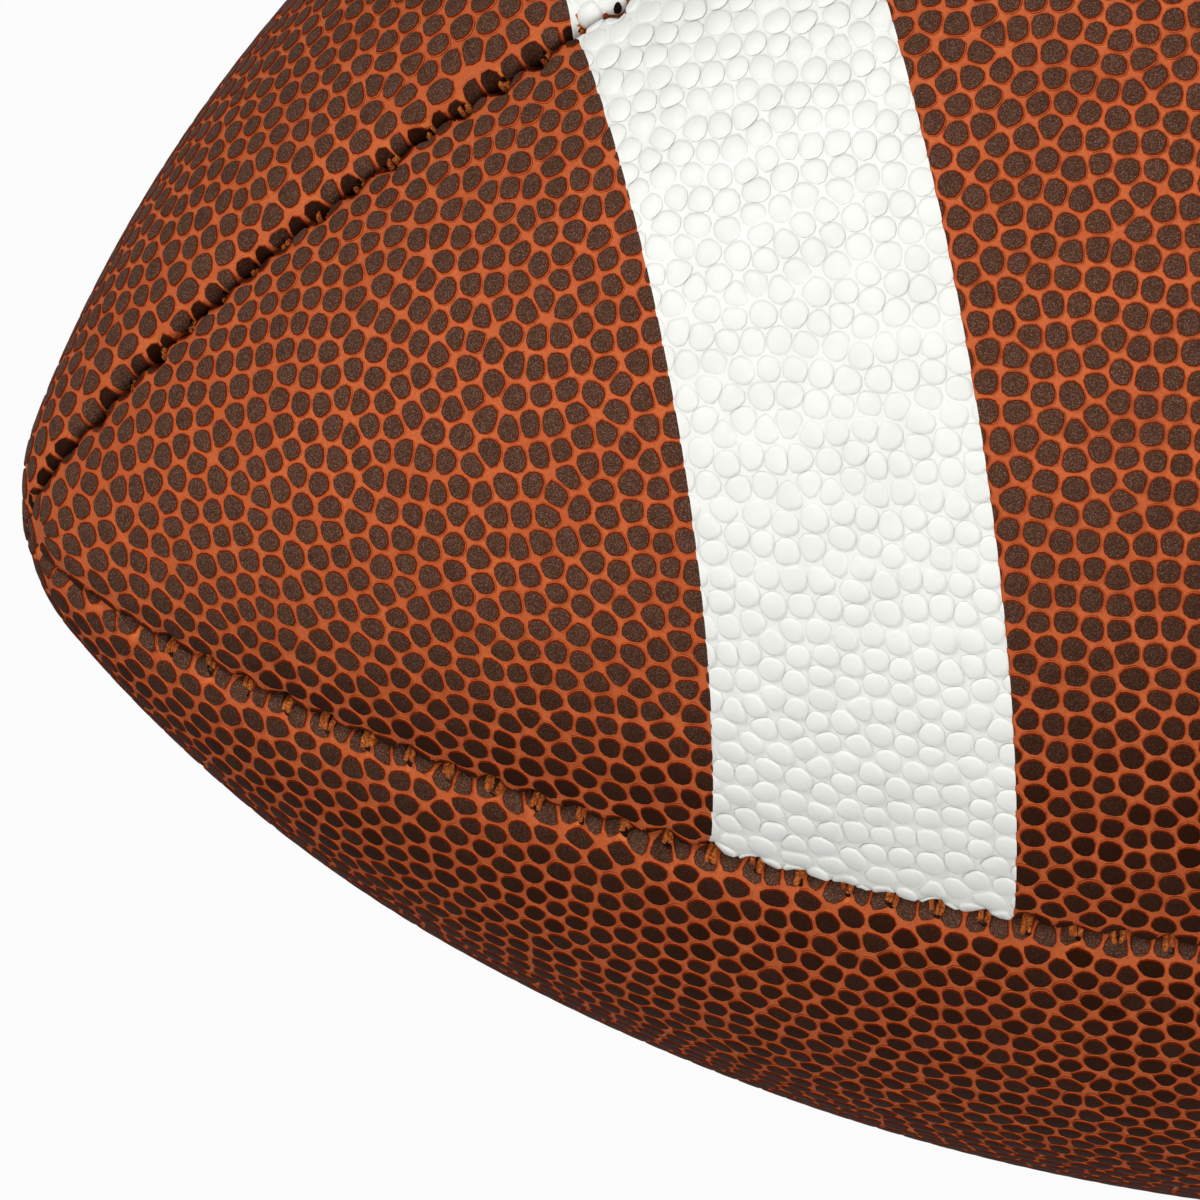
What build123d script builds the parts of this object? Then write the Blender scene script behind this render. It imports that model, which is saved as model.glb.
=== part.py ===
import os
from math import sqrt

from build123d import *

os.makedirs("parts", exist_ok=True)

# Ball, in millimetres: X runs from nose to nose, Z points up through the lace
ball_length = 284.0
belly_radius = 82.0
nose_radius = 6.6
nose_block = 3.0

# Where the belly arc ends and where the flank arc ends, as shares of half the length and of the belly radius
flank_start_shares = (0.331, 0.918)
shoulder_shares = (0.782, 0.516)

# Places along half the ball and the sink of the seam there, as shares of the half length and of the radius
station_shares = (0.0, 0.19, 0.35, 0.533, 0.674, 0.787, 0.873, 0.93, 0.965)
sink_shares = (0.012, 0.013, 0.017, 0.033, 0.061, 0.083, 0.103, 0.11, 0.105)
nose_sink_shares = (0.085, 0.065, 0.035)

# Cover, lining and the gap between bonded layers
cover_thickness = 1.8
lining_thickness = 0.8
layer_gap = 0.1

# Seams
seam_gap = 0.5
flange_depth = 4.3
flange_room_share = 0.75
stitch_pitch = 4.0
stitch_thread = 0.7
stitch_clearance = 0.1
stitch_nose_room = 15.0

# Stripes, painted on the two panels beside the lace
stripe_film = 0.12
stripe_bond = 0.08
stripe_width = 23.0
stripe_nose_distance = 46.5

# Lace
lace_count = 8
lace_pitch = 13.5
lace_width = 6.0
lace_thickness = 1.3
lace_reach = 11.0
lace_bend_radius = 1.4
lace_seat = 0.3
lace_drop = 0.8
lace_hole_gap = 0.3
end_slot_gap = 1.0
centre_run_width = 9.0
centre_run_overhang = 9.0
opening_margin = 4.0

# Reinforcement around the lace opening
facing_thickness = 0.8
facing_width = 17.0
facing_overhang = 3.5
tongue_thickness = 1.0
tongue_width = 40.0
tongue_overhang = 10.0
tongue_clearance = 1.0

# Bladder
bladder_wall = 0.8
bladder_nose_room = 29.0
bladder_seam_clearance = 1.4
pocket_margin = 2.0

# Valve, at mid length in the middle of the lower rear panel
valve_hole_radius = 4.8
valve_stem_radius = 4.4
valve_recess = 0.5
valve_patch_radius = 17.0
valve_patch_thickness = 0.6
valve_flange_radius = 12.0
valve_flange_thickness = 1.2
valve_boss_length = 5.0
valve_boss_radius = 5.5
core_radius = 2.6
core_head_radius = 3.4
core_head_thickness = 1.0
core_gap = 0.05
needle_radius = 1.1
needle_depth = 9.0

# Overrun of every cut
overrun = 1.0

# Depths below the outer face
half_length = ball_length / 2
shell_end = half_length - nose_block
seam_side = seam_gap / 2
flange_side = seam_side + cover_thickness
lining_depth = cover_thickness + layer_gap
lining_floor = lining_depth + lining_thickness
facing_depth = lining_floor + layer_gap
facing_floor = facing_depth + facing_thickness
lace_floor = facing_floor + lace_drop + lace_thickness
tongue_depth = lace_floor + tongue_clearance
tongue_floor = tongue_depth + tongue_thickness
pocket_depth = tongue_floor + layer_gap
stitch_half_width = flange_side + stitch_clearance + stitch_thread / 2
stitch_top = lining_floor + stitch_clearance
stitch_floor = flange_depth + stitch_clearance + stitch_thread / 2
bladder_depth = lining_floor + layer_gap
bladder_floor = bladder_depth + bladder_wall
patch_depth = bladder_floor + layer_gap
patch_floor = patch_depth + valve_patch_thickness
valve_flange_depth = patch_floor + layer_gap
valve_flange_floor = valve_flange_depth + valve_flange_thickness

# Lace opening
lace_places = [(i - (lace_count - 1) / 2) * lace_pitch for i in range(lace_count)]
centre_run_end = lace_places[-1] + centre_run_overhang
opening_half = centre_run_end + opening_margin
facing_half = centre_run_end + facing_overhang
tongue_half = centre_run_end + tongue_overhang
pocket_half = tongue_half + pocket_margin
pocket_width = tongue_width + 2 * pocket_margin

# The panels, by the turn about X that brings the upper front panel to each place
panel_turns = {
    "upper_front": 0,
    "upper_rear": -90,
    "lower_front": 90,
    "lower_rear": 180,
}
valve_plane = Plane(origin=(0, 0, 0), x_dir=(1, 0, 0), z_dir=(0, 1, -1))

# Side profile of a panel's middle: three tangent arcs from the belly to the nose
flank_start = (flank_start_shares[0] * half_length, flank_start_shares[1] * belly_radius)
shoulder = (shoulder_shares[0] * half_length, shoulder_shares[1] * belly_radius)
belly_arc = TangentArc((0, belly_radius), flank_start, tangent=(1, 0))
flank_arc = TangentArc(flank_start, shoulder, tangent=belly_arc % 1)
nose_arc = TangentArc(shoulder, (half_length, nose_radius), tangent=flank_arc % 1)

# Places of the sections from end to end
half_places = [share * half_length for share in station_shares] + [shell_end]
shell_places = [-x for x in reversed(half_places[1:])] + half_places
nose_places = (shell_end, half_length - nose_block / 3, half_length)
sink_table = list(zip(half_places + [nose_places[1], half_length], sink_shares + nose_sink_shares))


# Radius and fall of a panel's middle at a place along the ball
def mid_radius(x):
    for arc in (belly_arc, flank_arc, nose_arc):
        if abs(x) <= (arc @ 1).X or arc is nose_arc:
            run = abs(x) - arc.arc_center.X
            rise = sqrt(arc.radius**2 - run**2)
            return arc.arc_center.Y + rise, run / rise


# Share of that radius by which the seam sinks there
def seam_sink(x):
    for (x0, sink0), (x1, sink1) in zip(sink_table[:-1], sink_table[1:]):
        if abs(x) <= x1:
            return sink0 + (sink1 - sink0) * (abs(x) - x0) / (x1 - x0)
    return sink_table[-1][1]


# A lobe's arc across the ball: the offset of its centre, its radius, and how depth grows along the slope
def lobe_arc(x):
    radius, fall = mid_radius(x)
    valley = radius * (1 - seam_sink(x))
    offset = (radius**2 - valley**2) / (2 * (radius - valley / sqrt(2)))
    return offset, radius - offset, sqrt(1 + fall**2)


# The point of a lobe's arc at a distance from the seam plane
def arc_corner(offset, radius, side):
    apex = side * sqrt(2)
    reach = (offset + apex + sqrt(2 * radius**2 - (offset - apex) ** 2)) / 2
    return reach, reach - apex


def section_plane(x):
    return Plane(origin=(x, 0, 0), x_dir=(0, -1, 1), z_dir=(1, 0, 0))


# A layer of the upper front panel between two depths, from seam plane to seam plane
def layer(top, floor, side, places):
    with BuildPart() as body:
        for x in places:
            offset, radius, stretch = lobe_arc(x)
            top_radius = radius - top * stretch
            floor_radius = radius - floor * stretch
            u0, v0 = arc_corner(offset, top_radius, side)
            u1, v1 = arc_corner(offset, floor_radius, side)
            with BuildSketch(section_plane(x)):
                with BuildLine():
                    ThreePointArc((u0, v0), (offset + top_radius, 0), (u0, -v0))
                    Line((u0, -v0), (u1, -v1))
                    ThreePointArc((u1, -v1), (offset + floor_radius, 0), (u1, v1))
                    Line((u1, v1), (u0, v0))
                make_face()
        loft()
    return body.part


# The cover of the upper front panel, its edges turned in along both seams
def cover_shell(places):
    with BuildPart() as body:
        for x in places:
            offset, radius, stretch = lobe_arc(x)
            floor_radius = radius - cover_thickness * stretch
            u0, v0 = arc_corner(offset, radius, seam_side)
            u1, v1 = arc_corner(offset, floor_radius, flange_side)
            room = (u0 - flange_side * sqrt(2)) * flange_room_share
            drop = min(flange_depth * stretch / sqrt(2), room)
            set_in = cover_thickness / sqrt(2)
            with BuildSketch(section_plane(x)):
                with BuildLine():
                    ThreePointArc((u0, v0), (offset + radius, 0), (u0, -v0))
                    Polyline(
                        (u0, -v0),
                        (u0 - drop, drop - v0),
                        (u0 - drop + set_in, drop - v0 + set_in),
                        (u1, -v1),
                    )
                    ThreePointArc((u1, -v1), (offset + floor_radius, 0), (u1, v1))
                    Polyline(
                        (u1, v1),
                        (u0 - drop + set_in, v0 - drop - set_in),
                        (u0 - drop, v0 - drop),
                        (u0, v0),
                    )
                make_face()
        loft()
    return body.part


# The solid end of the cover at a nose
def cover_nose(sign):
    with BuildPart() as body:
        for place in nose_places:
            offset, radius, stretch = lobe_arc(place)
            u0, v0 = arc_corner(offset, radius, seam_side)
            with BuildSketch(section_plane(sign * place)):
                with BuildLine():
                    Polyline((u0, -v0), (seam_side * sqrt(2), 0), (u0, v0))
                    ThreePointArc((u0, v0), (offset + radius, 0), (u0, -v0))
                make_face()
        loft()
    return body.part


# A strip of a layer beside the top seam of the upper front panel, between two distances from the seam
def seam_strip(top, floor, near, far, places):
    with BuildPart() as body:
        for x in places:
            offset, radius, stretch = lobe_arc(x)
            middle = (near + far) / 2
            top_points = [arc_corner(offset, radius - top * stretch, s) for s in (near, middle, far)]
            floor_points = [arc_corner(offset, radius - floor * stretch, s) for s in (near, middle, far)]
            t0, t1, t2 = [(u, -v) for u, v in top_points]
            f0, f1, f2 = [(u, -v) for u, v in floor_points]
            with BuildSketch(section_plane(x)):
                with BuildLine():
                    ThreePointArc(t0, t1, t2)
                    Line(t2, f2)
                    ThreePointArc(f2, f1, f0)
                    Line(f0, t0)
                make_face()
        loft()
    return body.part


# The bladder's body inside a depth, with four lobes, sunk below the sewing at the seams
def lobed_body(depth, half):
    seam_depth = depth - bladder_depth + stitch_floor + stitch_thread / 2 + bladder_seam_clearance
    places = [-half] + [x for x in shell_places if abs(x) < half] + [half]
    with BuildPart() as body:
        for x in places:
            offset, radius, stretch = lobe_arc(x)
            middle = offset + radius - depth * stretch
            valley = mid_radius(x)[0] * (1 - seam_sink(x)) - seam_depth * stretch
            corner = valley / sqrt(2)
            with BuildSketch(section_plane(x)):
                with BuildLine():
                    ThreePointArc((corner, -corner), (middle, 0), (corner, corner))
                    ThreePointArc((corner, corner), (0, middle), (-corner, corner))
                    ThreePointArc((-corner, corner), (-middle, 0), (-corner, -corner))
                    ThreePointArc((-corner, -corner), (0, -middle), (corner, -corner))
                make_face()
        loft()
    return body.part


# The plane across the top seam at a place: X across the ball, Y out of the ball, Z along the seam
def seam_plane(x):
    height = mid_radius(x)[0] * (1 - seam_sink(x))
    step = stitch_pitch / 2
    before = mid_radius(x - step)[0] * (1 - seam_sink(x - step))
    after = mid_radius(x + step)[0] * (1 - seam_sink(x + step))
    return Plane(origin=(x, 0, height), x_dir=(0, 1, 0), z_dir=(2 * step, 0, after - before))


# A block over the top seam whose floor follows the seam at a depth
def seam_block(depth, half, width):
    left, middle, right = [
        seam_plane(x).from_local_coords(Vector(0, -depth, 0)) for x in (-half, 0, half)
    ]
    with BuildPart() as block:
        with BuildSketch(Plane.XZ):
            with BuildLine():
                ThreePointArc((left.X, left.Z), (middle.X, middle.Z), (right.X, right.Z))
                Polyline(
                    (right.X, right.Z),
                    (right.X, belly_radius + overrun),
                    (left.X, belly_radius + overrun),
                    (left.X, left.Z),
                )
            make_face()
        extrude(amount=width / 2, both=True)
    return block.part


cross_planes = [seam_plane(x) for x in lace_places]
end_planes = [seam_plane(-centre_run_end), seam_plane(centre_run_end)]

# Cover panel and lining, as they lie at the upper front
cover = cover_shell(shell_places)
left_nose = cover_nose(-1)
right_nose = cover_nose(1)
lining_end = shell_end - layer_gap
lining_places = [-lining_end] + shell_places[1:-1] + [lining_end]
lining = layer(lining_depth, lining_floor, flange_side + layer_gap, lining_places)

# Cutter for the lace holes of both rows and for the two end slots
with BuildPart() as lace_holes:
    for plane in cross_planes:
        with BuildSketch(plane):
            with Locations((-lace_reach, -facing_floor), (lace_reach, -facing_floor)):
                Rectangle(lace_thickness + 2 * lace_hole_gap, 4 * facing_floor)
        extrude(amount=lace_width / 2 + lace_hole_gap, both=True)
    for plane in end_planes:
        with BuildSketch(plane):
            with Locations((0, -facing_floor)):
                Rectangle(centre_run_width + 2 * lace_hole_gap, 4 * facing_floor)
        extrude(amount=lace_thickness / 2 + end_slot_gap, both=True)

# Along the opening the edges are not turned in
flange_top = seam_block(cover_thickness, opening_half, 2 * (flange_side + layer_gap))
flange_bottom = seam_block(flange_depth + overrun, opening_half, 2 * (flange_side + layer_gap))
with BuildPart() as opening_cut:
    add(flange_bottom)
    add(flange_top, mode=Mode.SUBTRACT)

# Valve hole through the lower rear panel and its lining
with BuildPart() as valve_hole:
    with BuildSketch(valve_plane):
        Circle(valve_hole_radius)
    extrude(amount=belly_radius + overrun)

for place, turn in panel_turns.items():
    with BuildPart() as panel:
        add(cover.rotate(Axis.X, turn))
        add(left_nose.rotate(Axis.X, turn))
        add(right_nose.rotate(Axis.X, turn))
        if place.startswith("upper"):
            add(opening_cut.part, mode=Mode.SUBTRACT)
            add(lace_holes.part, mode=Mode.SUBTRACT)
        if place == "lower_rear":
            add(valve_hole.part, mode=Mode.SUBTRACT)
    panel.part.label = f"panel_{place}"
    export_step(panel.part, f"parts/panel_{place}.step")

    with BuildPart() as panel_lining:
        add(lining.rotate(Axis.X, turn))
        if place.startswith("upper"):
            add(lace_holes.part, mode=Mode.SUBTRACT)
        if place == "lower_rear":
            add(valve_hole.part, mode=Mode.SUBTRACT)
    panel_lining.part.label = f"lining_{place}"
    export_step(panel_lining.part, f"parts/lining_{place}.step")

# Stripes, cut from a film over the whole panel
stripe_middle = half_length - stripe_nose_distance - stripe_width / 2
film = layer(-stripe_bond - stripe_film, -stripe_bond, seam_side, shell_places)
for end, sign in (("left", -1), ("right", 1)):
    with BuildPart() as band:
        with BuildSketch(section_plane(sign * stripe_middle)):
            Rectangle(3 * belly_radius, 3 * belly_radius)
        extrude(amount=stripe_width / 2, both=True)
    for side in ("front", "rear"):
        with BuildPart() as stripe:
            add(film.rotate(Axis.X, panel_turns[f"upper_{side}"]))
            add(band.part, mode=Mode.INTERSECT)
        stripe.part.label = f"stripe_{end}_{side}"
        export_step(stripe.part, f"parts/stripe_{end}_{side}.step")

# Seam sewing: each stitch goes round the two turned-in edges, evenly spaced along the seam
stitch_places = [stitch_pitch / 2]
while stitch_places[-1] < half_length - stitch_nose_room:
    along = seam_plane(stitch_places[-1]).z_dir
    stitch_places.append(stitch_places[-1] + stitch_pitch * along.X)
stitch_places = [-x for x in reversed(stitch_places[:-1])] + stitch_places[:-1]
seam_rows = {
    "front": (stitch_places, 90),
    "rear": (stitch_places, -90),
    "bottom": (stitch_places, 180),
    "top_left": ([x for x in stitch_places if x < -opening_half], 0),
    "top_right": ([x for x in stitch_places if x > opening_half], 0),
}
for place, (places, turn) in seam_rows.items():
    with BuildPart() as row:
        for x in places:
            with BuildSketch(seam_plane(x)):
                with BuildLine():
                    Polyline(
                        (-stitch_half_width, -stitch_top),
                        (-stitch_half_width, -stitch_floor),
                        (stitch_half_width, -stitch_floor),
                        (stitch_half_width, -stitch_top),
                    )
                trace(line_width=stitch_thread)
        extrude(amount=stitch_thread / 2, both=True)
    with BuildPart() as seam_stitches:
        add(row.part.rotate(Axis.X, turn))
    seam_stitches.part.label = f"seam_stitches_{place}"
    export_step(seam_stitches.part, f"parts/seam_stitches_{place}.step")

# Lace: the cross runs go over the opening, down a hole and slantwise inside to the next hole
run_height = lace_seat + lace_thickness / 2
crown = run_height + lace_seat + lace_thickness
foot = facing_floor + lace_drop + lace_thickness / 2

with BuildPart() as lace_cross_run:
    for plane in cross_planes:
        with BuildSketch(plane):
            with BuildLine():
                FilletPolyline(
                    (-lace_reach, -foot - lace_thickness / 2),
                    (-lace_reach, run_height),
                    (-centre_run_width / 2 - lace_thickness, crown),
                    (centre_run_width / 2 + lace_thickness, crown),
                    (lace_reach, run_height),
                    (lace_reach, -foot - lace_thickness / 2),
                    radius=lace_bend_radius,
                )
            trace(line_width=lace_thickness)
        extrude(amount=lace_width / 2, both=True)
    for here, there in zip(cross_planes[:-1], cross_planes[1:]):
        start = here.from_local_coords(Vector(-lace_reach, -foot, 0))
        stop = there.from_local_coords(Vector(lace_reach, -foot, 0))
        run = stop - start
        with BuildSketch(Plane(origin=start, x_dir=run.cross(here.y_dir), z_dir=run)):
            Rectangle(lace_width, lace_thickness)
        extrude(amount=run.length)
lace_cross_run.part.label = "lace_cross_run"
export_step(lace_cross_run.part, "parts/lace_cross_run.step")

# The run along the opening lies under the cross runs and goes down a slot at each end
middle_plane = seam_plane(0)
left_foot, left_top, middle_top, right_top, right_foot = [
    plane.from_local_coords(Vector(0, height, 0))
    for plane, height in (
        (end_planes[0], -foot),
        (end_planes[0], run_height),
        (middle_plane, run_height),
        (end_planes[1], run_height),
        (end_planes[1], -foot),
    )
]
with BuildPart() as lace_centre_run:
    with BuildSketch(Plane.XZ):
        with BuildLine() as run_line:
            Line((left_foot.X, left_foot.Z), (left_top.X, left_top.Z))
            ThreePointArc(
                (left_top.X, left_top.Z), (middle_top.X, middle_top.Z), (right_top.X, right_top.Z)
            )
            Line((right_top.X, right_top.Z), (right_foot.X, right_foot.Z))
            fillet(run_line.vertices().sort_by(Axis.Y)[2:], lace_bend_radius)
        trace(line_width=lace_thickness)
    extrude(amount=centre_run_width / 2, both=True)
lace_centre_run.part.label = "lace_centre_run"
export_step(lace_centre_run.part, "parts/lace_centre_run.step")

# Facings under the lace holes
facing_places = [-facing_half] + [x for x in shell_places if abs(x) < facing_half] + [facing_half]
facing_near = flange_side + layer_gap
front_facing = seam_strip(facing_depth, facing_floor, facing_near, facing_near + facing_width, facing_places)
for side in ("front", "rear"):
    with BuildPart() as lace_facing:
        if side == "front":
            add(front_facing)
        else:
            add(front_facing.mirror(Plane.XZ))
        add(lace_holes.part, mode=Mode.SUBTRACT)
    lace_facing.part.label = f"lace_facing_{side}"
    export_step(lace_facing.part, f"parts/lace_facing_{side}.step")

# Tongue below the opening
tongue_top = seam_block(tongue_depth, tongue_half, tongue_width)
with BuildPart() as lace_tongue:
    add(seam_block(tongue_floor, tongue_half, tongue_width))
    add(tongue_top, mode=Mode.SUBTRACT)
lace_tongue.part.label = "lace_tongue"
export_step(lace_tongue.part, "parts/lace_tongue.step")

# Bladder, pressed in below the tongue
bladder_half = half_length - bladder_nose_room
bladder_outside = lobed_body(bladder_depth, bladder_half)
bladder_inside = lobed_body(bladder_floor, bladder_half - bladder_wall)
pocket = seam_block(pocket_depth, pocket_half, pocket_width)
pocket_wall = seam_block(
    pocket_depth + bladder_wall, pocket_half + bladder_wall, pocket_width + 2 * bladder_wall
)
with BuildPart() as bladder_hollow:
    add(bladder_inside)
    add(pocket_wall, mode=Mode.SUBTRACT)
with BuildPart() as bladder:
    add(bladder_outside)
    add(pocket, mode=Mode.SUBTRACT)
    add(bladder_hollow.part, mode=Mode.SUBTRACT)
    add(valve_hole.part, mode=Mode.SUBTRACT)
bladder.part.label = "bladder"
export_step(bladder.part, "parts/bladder.step")

# Valve: patch on the bladder's inner wall, rubber housing through the cover, and its core
valve_top = belly_radius - valve_recess
valve_bottom = belly_radius - valve_flange_floor - valve_boss_length


# A round dish inside a depth at the valve
def valve_dish(depth, radius):
    body = lobed_body(depth, valve_patch_radius + overrun)
    with BuildPart() as dish:
        with BuildSketch(valve_plane):
            Circle(radius)
        extrude(amount=belly_radius)
        add(body, mode=Mode.INTERSECT)
    return dish.part


patch_top_dish = valve_dish(patch_depth, valve_patch_radius)
patch_floor_dish = valve_dish(patch_floor, valve_patch_radius + overrun)
flange_top_dish = valve_dish(valve_flange_depth, valve_flange_radius)
flange_floor_dish = valve_dish(valve_flange_floor, valve_flange_radius + overrun)

with BuildPart() as valve_patch:
    add(patch_top_dish)
    add(patch_floor_dish, mode=Mode.SUBTRACT)
    add(valve_hole.part, mode=Mode.SUBTRACT)
valve_patch.part.label = "valve_patch"
export_step(valve_patch.part, "parts/valve_patch.step")

with BuildPart() as valve_housing:
    add(flange_top_dish)
    add(flange_floor_dish, mode=Mode.SUBTRACT)
    with BuildSketch(valve_plane.offset(valve_bottom)):
        Circle(valve_boss_radius)
    extrude(amount=valve_boss_length + valve_flange_thickness / 2)
    with BuildSketch(valve_plane.offset(valve_bottom)):
        Circle(valve_stem_radius)
    extrude(amount=valve_top - valve_bottom)
    with BuildSketch(valve_plane.offset(valve_bottom)):
        Circle(core_radius + core_gap)
    extrude(amount=valve_top - valve_bottom, mode=Mode.SUBTRACT)
    with BuildSketch(valve_plane.offset(valve_top)):
        Circle(core_head_radius + core_gap)
    extrude(amount=-core_head_thickness - core_gap, mode=Mode.SUBTRACT)
valve_housing.part.label = "valve_housing"
export_step(valve_housing.part, "parts/valve_housing.step")

with BuildPart() as valve_core:
    with BuildSketch(valve_plane.offset(valve_bottom)):
        Circle(core_radius)
    extrude(amount=valve_top - valve_bottom)
    with BuildSketch(valve_plane.offset(valve_top)):
        Circle(core_head_radius)
    extrude(amount=-core_head_thickness)
    with BuildSketch(valve_plane.offset(valve_top)):
        Circle(needle_radius)
    extrude(amount=-needle_depth, mode=Mode.SUBTRACT)
valve_core.part.label = "valve_core"
export_step(valve_core.part, "parts/valve_core.step")
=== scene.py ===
import math

import bmesh
import bpy
import numpy as np
from mathutils import Matrix, Vector, kdtree


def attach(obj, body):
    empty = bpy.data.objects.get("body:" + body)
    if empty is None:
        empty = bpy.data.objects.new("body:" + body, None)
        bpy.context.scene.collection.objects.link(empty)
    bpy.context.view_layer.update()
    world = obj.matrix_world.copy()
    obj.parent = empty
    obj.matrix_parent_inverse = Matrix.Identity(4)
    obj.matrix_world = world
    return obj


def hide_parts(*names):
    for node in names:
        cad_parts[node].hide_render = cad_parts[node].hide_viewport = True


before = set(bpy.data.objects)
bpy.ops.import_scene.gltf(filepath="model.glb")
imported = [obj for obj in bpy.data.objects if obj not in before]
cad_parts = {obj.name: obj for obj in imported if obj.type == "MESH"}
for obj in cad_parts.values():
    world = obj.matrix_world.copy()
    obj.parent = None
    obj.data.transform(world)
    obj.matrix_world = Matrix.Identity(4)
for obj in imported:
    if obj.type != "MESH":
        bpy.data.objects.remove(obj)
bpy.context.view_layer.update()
print("frame loaded:", len(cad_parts), "nodes")

mm = 0.001
quarterTurn = math.pi / 2
tiny = 1e-9

# The ball in millimetres: the profile of a panel's middle is three tangent arcs and a rounded tip
ball = {
    "bellyRadius": 82.0,
    "flankStart": (47.002, 75.276),
    "shoulder": (111.044, 42.312),
    "noseEnd": (142.0, 6.6),
    "tipStart": 140.6,
    "sinkPlaces": (0, 26.98, 49.7, 75.69, 95.71, 111.75, 123.97, 132.06, 137.03, 139, 141, 145),
    "sinkShares": (0.012, 0.013, 0.017, 0.033, 0.061, 0.083, 0.103, 0.11, 0.105, 0.1, 0.095, 0.09),
    "sinkBlend": 10.0,
    "seamSide": 0.22,
    "seamSideShare": 0.06,
    "edgeRoll": 1.05,
    "edgeRollShare": 0.25,
    "edgeDepth": 3.4,
    "coverThickness": 1.8,
    "stitchPitch": 4.0,
    "openingHalf": 60.25,
    "openingFade": 4.0,
    "stripeNear": 72.5,
    "stripeFar": 95.5,
    "arcSteps": 1500,
    "tipSteps": 200,
    "tableStep": 0.05,
    "tipRoom": 0.35,
    "leastRadius": 0.01,
    "slopeStep": 0.2,
    "mapHalf": 0.49,
}


def arcPoints(start, heading, end, count):
    start, end, heading = np.array(start), np.array(end), np.array(heading)
    side = np.array((heading[1], -heading[0]))
    chord = end - start
    radius = chord @ chord / (2 * side @ chord)
    centre = start + radius * side
    first = math.atan2(*(start - centre)[::-1])
    last = math.atan2(*(end - centre)[::-1])
    angles = np.linspace(first, last, count)
    points = centre + abs(radius) * np.c_[np.cos(angles), np.sin(angles)]
    return points, np.array((math.sin(last), -math.cos(last)))


def profileTable():
    heading = (1.0, 0.0)
    start = (0.0, ball["bellyRadius"])
    runs = []
    for end in (ball["flankStart"], ball["shoulder"], ball["noseEnd"]):
        points, heading = arcPoints(start, heading, end, ball["arcSteps"])
        runs.append(points[1:] if runs else points)
        start = end
    points = np.concatenate(runs)
    points = points[points[:, 0] <= ball["tipStart"]]
    slope = points[-1] - points[-2]
    angle = math.atan2(-slope[1], slope[0])
    capRadius = points[-1][1] / math.cos(angle)
    turn = np.linspace(angle, quarterTurn, ball["tipSteps"])[1:]
    cap = np.c_[np.sin(turn) - math.sin(angle), np.cos(turn) - math.cos(angle)]
    points = np.concatenate((points, points[-1] + capRadius * cap))
    steps = np.hypot(*np.diff(points, axis=0).T)
    return np.r_[0, np.cumsum(steps)], points[:, 0], np.maximum(points[:, 1], ball["leastRadius"])


# Tables by the length along a panel's middle: x, the middle's radius, the seam's radius and the seam's length
profileAlong, profileX, profileRadius = profileTable()
alongTable = np.arange(0, profileAlong[-1], ball["tableStep"])
xTable = np.interp(alongTable, profileAlong, profileX)
radiusTable = np.interp(alongTable, profileAlong, profileRadius)
sinkTable = np.interp(xTable, ball["sinkPlaces"], ball["sinkShares"])
window = int(ball["sinkBlend"] / ball["tableStep"])
for _ in range(2):
    padded = np.r_[sinkTable[window:0:-1], sinkTable, np.full(window, sinkTable[-1])]
    sinkTable = np.convolve(padded, np.ones(window) / window, "same")[window:-window]
alongEnd = alongTable[-1] - ball["tipRoom"]
valleyTable = radiusTable * (1 - sinkTable)
seamTable = np.r_[0, np.cumsum(np.hypot(np.diff(xTable), np.diff(valleyTable)))]
print("profile: half length", round(xTable[-1], 2), "along", round(alongEnd, 1))


def unit(v):
    return v / np.maximum(np.linalg.norm(v, axis=-1, keepdims=True), tiny)


def circleAngles(count):
    return np.arange(count) * 2 * math.pi / count


# A panel's cross section is an arc: its x, how far its centre is from the axis, and its radius
def lobeAt(along):
    a = np.abs(along)
    x = np.sign(along) * np.interp(a, alongTable, xTable)
    radius = np.interp(a, alongTable, radiusTable)
    valley = np.interp(a, alongTable, valleyTable)
    offset = (radius**2 - valley**2) / (2 * (radius - valley / math.sqrt(2)))
    return x, offset, radius - offset


# Arc length from a panel's middle to its edge, and the radius of the rolled edge there
def edgeAt(along):
    _, offset, arc = lobeAt(along)
    apex = np.minimum(ball["seamSide"], ball["seamSideShare"] * arc) * math.sqrt(2)
    reach = (offset + apex + np.sqrt(2 * arc**2 - (offset - apex) ** 2)) / 2
    edge = arc * np.arctan2(reach - apex, reach - offset)
    return edge, np.minimum(ball["edgeRoll"], ball["edgeRollShare"] * edge)


def rollEnd(edge, roll):
    return edge - roll + roll * quarterTurn


def lobePoint(along, across):
    x, offset, arc = lobeAt(along)
    angle = across / arc
    return np.stack((x, offset + arc * np.cos(angle), arc * np.sin(angle)), -1)


# Sewing: each stitch draws the cover down and in, and no two stitches pull alike
sewing = {
    "wideReach": 3.2,
    "wideDepth": 0.14,
    "tightReach": 1.3,
    "tightDepth": 0.76,
    "drawnIn": 0.38,
    "fullEdge": 9.0,
    "pinchReach": 1.5,
    "crispness": 4,
    "pull": (0.35, 1.25),
    "pullCount": 400,
    "otherEnd": 90,
    "otherSide": 180,
    "seed": 5,
}
stitchPull = np.random.default_rng(sewing["seed"]).uniform(*sewing["pull"], sewing["pullCount"])


# Whether the seam is sewn here, and how near a stitch is, from none to about 1
def stitchWave(along, across, pucker):
    seam = np.interp(np.abs(along), alongTable, seamTable) / ball["stitchPitch"] - 0.5
    stitch = np.rint(seam).astype(int)
    wave = np.cos(math.pi * (seam - stitch)) ** sewing["crispness"]
    shift = sewing["otherEnd"] * (along < 0) + sewing["otherSide"] * (across < 0)
    pull = stitchPull[(stitch + shift) % sewing["pullCount"]]
    x = lobeAt(along)[0]
    return np.where(across > 0, pucker[1](x), pucker[0](x)), wave * pull


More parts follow.
